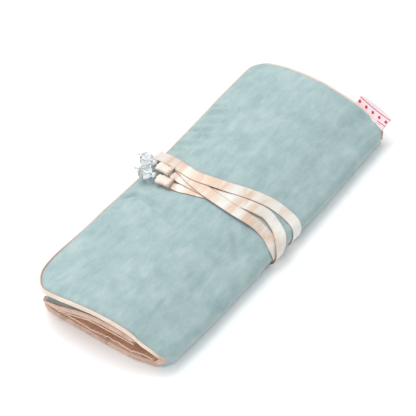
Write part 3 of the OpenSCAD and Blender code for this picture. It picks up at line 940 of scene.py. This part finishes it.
def label_grids():
    """a strip folded double: out from the seam, round the fold and back"""
    slope = crown_slope(LABEL_Y)
    across = unit((0, 1, slope))
    up = np.cross((1, 0, 0), across)
    root = np.array([HALF_LENGTH + 0.2, LABEL_Y, crown(LABEL_Y) - QUILT / 2])
    turn_x = LABEL_REACH - LABEL_TURN
    profile = [(x, LABEL_TURN) for x in np.linspace(LABEL_ROOT, turn_x, 15)]
    profile += [(turn_x + LABEL_TURN * math.cos(a), LABEL_TURN * math.sin(a))
                for a in np.linspace(1.2, -1.2, 7)]
    profile += [(x, -LABEL_TURN) for x in np.linspace(turn_x, LABEL_ROOT, 15)]
    outer, inner = [], []
    for t in np.linspace(-0.5, 0.5, 31):
        # the label's root follows the bowed end
        base = root + across * t * LABEL_LENGTH + (1.8 * (0.4 - 4 * t * t), 0, -1.7 - 1.2 * t)
        row_out, row_in = [], []
        for x, h in profile:
            curl = 0.15 * wave(t * 5, x / 4, 41.3) * max(0, x) / LABEL_REACH
            curl += LABEL_RISE * max(0, x - 0.5)
            row_out.append(base + (x, 0, 0) + up * (h * 0.9 + curl))
            row_in.append(base + (min(x, LABEL_REACH - 0.3), 0, 0) + up * (h * 0.3 + curl))
        outer.append(row_out)
        inner.append(row_in)
    return np.array(outer), np.array(inner)


label = shell("woven_label_strip", *label_grids(), LABEL, "label")

# ---- ribbons ----


def smooth_route(rings, step=1.3):
    """points and outward directions along a curve through the rings"""
    centres = np.array([r[0] for r in rings], float)
    outs = np.array([r[1] for r in rings], float)
    points, ups = [], []
    last = len(rings) - 1
    for i in range(last):
        p0, p1 = centres[max(i - 1, 0)], centres[i]
        p2, p3 = centres[i + 1], centres[min(i + 2, last)]
        d01, d12, d23 = (max(np.linalg.norm(b - a), 1e-6) ** 0.5
                         for a, b in ((p0, p1), (p1, p2), (p2, p3)))
        m1 = m2 = p2 - p1
        if i > 0:
            m1 = (p2 - p1) + d12 * ((p1 - p0) / d01 - (p2 - p0) / (d01 + d12))
        if i + 2 <= last:
            m2 = (p2 - p1) + d12 * ((p3 - p2) / d23 - (p3 - p1) / (d12 + d23))
        count = max(2, int(np.linalg.norm(p2 - p1) / step))
        for k in range(count):
            t = k / count
            points.append(hermite(t, p1, m1, p2, m2))
            ups.append(unit(outs[i] * (1 - t) + outs[i + 1] * t))
    points.append(centres[-1])
    ups.append(outs[-1])
    return np.array(points), np.array(ups)


def ribbon(name, points, ups, seed):
    """the ribbon along a route, darker along its edges and with painted shade where it turns over the
    case's edges
    """
    rings = []
    spread = sorted(set(np.round(np.linspace(-1, 1, 13), 4)) | {-0.94, 0.94})
    last = len(points) - 1
    for i, (p, up) in enumerate(zip(points, ups)):
        ahead = unit(points[min(i + 1, last)] - points[max(i - 1, 0)])
        across = unit(np.cross(ahead, up))
        out = np.cross(across, ahead)
        half = RIBBON_WIDTH / 2 * (1 + 0.015 * wave(i / 9, 0, seed))
        # narrow where the tail goes into its knot
        half *= 1 - 0.35 * smooth_step((i - last + 9) / 9)
        tops, lows = [], []
        for a in spread:
            bow = 0.16 * (1 - a * a) + 0.05 * wave(i / 7, a * 1.5, seed + 3)
            thick = 0.16 if abs(a) < 0.86 else 0.2 if abs(a) < 0.95 else 0.12
            tops.append(p + across * a * half + out * (bow + thick))
            lows.append(p + across * a * half + out * (bow - thick))
        rings.append(np.array(tops + lows[::-1]))
    edge = [0.85 if abs(a) > 0.99 else 0.35 if abs(a) > 0.9 else 0 for a in spread]
    shade = []
    for x, y, z in points:
        # painted shade: darker where it turns over the left edge and round the right fold
        deep = 0.26 * smooth_step((y - 36) / 14) * smooth_step((x - 3) / 4)
        deep += 0.1 * smooth_step((-y - 24) / 20) * smooth_step((8 - x) / 8)
        shade += [max(deep, e) for e in edge + edge[::-1]]
    return tube(name, rings, RIBBON, marks={"shade": shade})


ribbons = []
for name, rings, seed in (("first_ribbon", FIRST_ROUTE, 51.3), ("second_ribbon", SECOND_ROUTE, 57.9)):
    points, ups = smooth_route(rings)
    ribbons.append((ribbon(name, points, ups, seed), points))

# ---- knots, pins and beads ----


def pin_frame(at, turn):
    """origin where the pin leaves its knot, and the directions along it, across it and up"""
    t = math.radians(turn)
    along = np.array([-math.sin(t), math.cos(t), 0])
    return knot_centre(at) + (0, KNOT_HALF, 0), along, np.cross(along, (0, 0, 1)), np.array([0, 0, 1.0])


def knot_piece(name, at, turn):
    """the ribbon's end, folded over itself into a crumpled pad with a frayed, ruffled end"""
    _, along, side, up = pin_frame(at, turn)
    centre = knot_centre(at)
    count = 72
    rings, pale, shade = [], [], []
    # each station is a place along the knot, a size there, and how ruffled it is
    stations = [(-1.14, 0.5, 0), (-1.13, 1.0, 0.5), (-1.05, 1.14, 1), (-0.97, 1.08, 1), (-0.88, 0.84, 0.6)]
    stations += [(t, 0.93 + 0.09 * t * t, 0) for t in np.linspace(-0.8, 0.86, 22)]
    stations += [(0.93, 0.94, 0), (0.98, 0.8, 0), (1.0, 0.4, 0)]
    for t, size, ruffle in stations:
        ring = []
        for k in range(count):
            a = 2 * math.pi * k / count
            c, s = math.cos(a), math.sin(a)
            crumple = 0.32 * wave(2.2 * c, 2.4 * t + s, at[0]) + 0.2 * wave(5 * c, 5 * t + 2 * s, at[1])
            # folded layers show as shallow steps across the pad
            crumple += 0.16 * math.tanh(5 * math.sin(5.5 * t + 0.8 * c))
            crumple += ruffle * (0.42 * math.cos(13 * a + 1.5 * c) + 0.3 * wave(6 * c, 6 * s, at[1] + 3))
            across = np.sign(c) * abs(c) ** 0.68 * (4.7 * size + crumple)
            high = np.sign(s) * abs(s) ** 0.9 * (2.0 * size + crumple)
            ring.append(centre + along * t * KNOT_HALF + side * across + up * (high - 0.5))
            # painted light on the pad's top; painted shade on its sides and underside and in the folds of
            # the ruffle
            pale.append((0.8 - 0.7 * ruffle) * max(0, s))
            shade.append(max(0.4 * (1 - max(0, s)), 0.55 * ruffle * (0.5 + 0.5 * math.cos(13 * a + 3))))
        rings.append(np.array(ring))
    return tube(name, rings, RIBBON, marks={"pale": pale, "shade": shade})


PIN_LENGTH = 17.2
RONDELLE_AT = 2.9
BEAD_AT = 10.7
BORE = 0.66


def pin_piece(name, at, turn):
    """a straight wire with its end bent into a small double loop"""
    origin, along, side, up = pin_frame(at, turn)
    path = [origin + along * t for t in np.linspace(0.1, PIN_LENGTH, 12)]
    for a in np.linspace(0, 3 * math.pi, 26)[1:]:
        path.append(origin + along * (PIN_LENGTH + 0.33 * a) + side * 0.95 * math.sin(a)
                    + up * 0.35 * (1 - math.cos(a)))
    radii = [0.5] * 12 + [0.36] * 25
    return tube(name, round_rings(path, radii, 12), METAL)


def lathe(name, profile, centre, axes, count, mat, shape):
    """turns a closed profile of (radius, height) round the pin, with a shape to its sections"""
    along, side, up = axes
    points = []
    for r, h in profile:
        for k in range(count):
            a = 2 * math.pi * k / count
            points.append(centre + along * h + (side * math.cos(a) + up * math.sin(a)) * shape(a, r, h))
    faces = grid_faces(len(profile), count, close_columns=True)
    last = (len(profile) - 1) * count
    faces += [(last + k, last + (k + 1) % count, (k + 1) % count, k) for k in range(count)]
    return make_mesh(name, points, faces, mat)


def rondelle_piece(name, at, turn):
    """a small silver spacer with a notched rim"""
    origin, *axes = pin_frame(at, turn)
    profile = [(0.56, -1.45), (1.5, -1.5), (2.2, -1.35), (2.55, -0.9), (2.35, -0.55), (2.9, -0.3), (3.0, 0),
               (2.9, 0.3), (2.35, 0.55), (2.55, 0.9), (2.2, 1.35), (1.5, 1.5), (0.56, 1.45)]

    def notched(a, r, h):
        return r * (1 - 0.09 * (r > 2.6) * (0.5 + 0.5 * math.cos(12 * a)))

    return lathe(name, profile, origin + axes[0] * RONDELLE_AT, axes, 64, METAL, notched)


def faceted_bead(name, at, turn):
    """rings of flat facets, each ring turned half a facet against the next"""
    origin, along, side, up = pin_frame(at, turn)
    centre = origin + along * BEAD_AT
    count = 10
    half = [(5.85, 1.35), (4.75, 3.7), (2.6, 5.4), (BORE, 5.55)]
    rings = [(r, -h) for r, h in reversed(half)] + half
    points, faces = [], []
    for i, (r, h) in enumerate(rings):
        for k in range(count):
            a = 2 * math.pi * (k + 0.5 * (i % 2)) / count
            points.append(centre + along * h + (side * math.cos(a) + up * math.sin(a)) * r)
    for i in range(len(rings) - 1):
        a, b = i * count, (i + 1) * count
        for k in range(count):
            m = (k + 1) % count
            if i % 2 == 0:
                faces += [(a + k, a + m, b + k), (a + m, b + m, b + k)]
            else:
                faces += [(a + k, a + m, b + m), (a + k, b + m, b + k)]
    # the bore
    last = (len(rings) - 1) * count
    for k in range(count):
        m = (k + 1) % count
        faces += [(last + k, last + m, m), (last + k, m, k)]
    return make_mesh(name, points, faces, CLEAR, smooth=False)


def lobed_bead(name, at, turn):
    """a moulded bead with seven rounded lobes that lean round it"""
    origin, *axes = pin_frame(at, turn)
    profile = []
    for t in np.linspace(-1, 1, 33):
        a = t * (math.pi / 2 - 0.14)
        profile.append((max(BORE, 5.9 * math.cos(a)), 5.3 * math.sin(a)))
    profile = [(BORE, profile[0][1])] + profile[1:-1] + [(BORE, profile[-1][1])]

    def lobes(a, r, h):
        if r <= BORE + 0.01:
            return r
        deep = abs(math.cos(3.5 * a + 0.10 * h))
        return r * (0.80 + 0.20 * deep ** 0.7 * min(1, r / 3))

    return lathe(name, profile, origin + axes[0] * BEAD_AT, axes, 112, FROSTED, lobes)


# each ribbon's end: its knot's place, and how far it is turned
ENDS = {"first": (FIRST_KNOT, 0), "second": (SECOND_KNOT, 8)}
first_knot, second_knot = (knot_piece(f"{n}_ribbon_knot", *end) for n, end in ENDS.items())
first_pin, second_pin = (pin_piece(f"{n}_bead_pin", *end) for n, end in ENDS.items())
first_rondelle, second_rondelle = (rondelle_piece(f"{n}_silver_rondelle", *end) for n, end in ENDS.items())
lobed = lobed_bead("lobed_glass_bead", *ENDS["first"])
faceted = faceted_bead("faceted_crystal_bead", *ENDS["second"])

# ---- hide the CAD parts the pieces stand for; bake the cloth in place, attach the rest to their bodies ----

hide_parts("back_velvet", "back_wadding", "right_fold_velvet", "right_fold_wadding",
            "flap_velvet", "flap_wadding")
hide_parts("left_fold_velvet", "left_fold_wadding", "middle_velvet", "middle_wadding")
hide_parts("back_lining", "right_fold_lining", "flap_lining")
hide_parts("left_fold_lining", "middle_lining")
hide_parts("back_piping", "right_fold_piping", "flap_piping")
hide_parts("left_fold_piping", "middle_piping")
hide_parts("back_pocket", "left_fold_pocket", "middle_pocket")
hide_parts("back_pocket_seams")
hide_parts("middle_pocket_seams")
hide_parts("woven_label")
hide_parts("ribbon_first_half")
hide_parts("ribbon_second_half")
for piece, node in ((first_knot, "first_knot"), (second_knot, "second_knot"), (first_pin, "first_pin"),
                    (second_pin, "second_pin"), (first_rondelle, "first_rondelle"),
                    (second_rondelle, "second_rondelle"), (lobed, "lobed_bead"), (faceted, "faceted_bead")):
    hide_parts(node)

# heights for the cloth's bend from one body to the next; the loop below lists them with each piece but only
# bakes its transform
COVER_BEND = ((0, 0, 4.95 * MM), (0, 0, 12.6 * MM))
LINING_BEND = ((0, 0, 5.9 * MM), (0, 0, 11.7 * MM))
POCKET_BEND = ((0, 0, 10.6 * MM), (0, 0, 11.8 * MM))
for piece, body, bend in ((right_cover, "flap", COVER_BEND), (left_cover, "middle", COVER_BEND),
                          (right_lining, "flap", LINING_BEND), (left_lining, "middle", LINING_BEND),
                          (right_binding, "flap", LINING_BEND), (left_binding, "middle", LINING_BEND),
                          (pocket, "middle", POCKET_BEND), (hem, "middle", POCKET_BEND)):
    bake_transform(piece)
for piece in back_stitches:
    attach(piece, "root")
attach(middle_stitches, "middle")
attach(label, "label")
for piece in (first_knot, second_knot, first_pin, second_pin, first_rondelle, second_rondelle):
    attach(piece, "tie")
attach(lobed, "lobed_bead")
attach(faceted, "faceted_bead")

on_ribbons = ([first_knot, first_pin, first_rondelle, lobed],
              [second_knot, second_pin, second_rondelle, faceted])
RIBBON_LENGTHS = (0.515, 0.502)
for (piece, points), ends, length in zip(ribbons, on_ribbons, RIBBON_LENGTHS):
    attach(piece, "tie")
    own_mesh(piece)

# ---- floor and light ----

floor_mesh = bpy.data.meshes.new("floor")
floor_mesh.from_pydata([(-4, -4, 0), (4, -4, 0), (4, 4, 0), (-4, 4, 0)], [], [(0, 1, 2, 3)])
floor = add_object("floor", floor_mesh)
floor_mesh.materials.append(Nodes("floor", (0.99, 0.99, 0.99), 0.9, Specular_IOR_Level=0.1).mat)

world = bpy.data.worlds.new("world")
world.use_nodes = True
background = world.node_tree.nodes["Background"]
background.inputs["Color"].default_value = (0.95, 0.98, 1, 1)
background.inputs["Strength"].default_value = 0.73
bpy.context.scene.world = world


def softbox(name, at, size, power):
    data = bpy.data.lights.new(name, "AREA")
    data.size = size
    data.energy = power
    light = add_object(name, data)
    light.location = at
    light.rotation_euler = (-Vector(at)).to_track_quat("-Z", "Y").to_euler()


softbox("key", (0.3, 0.95, 1.6), 1.4, 24)
softbox("fill", (-1.4, -0.2, 1.0), 1.2, 5)
bpy.context.scene.view_settings.view_transform = "Standard"
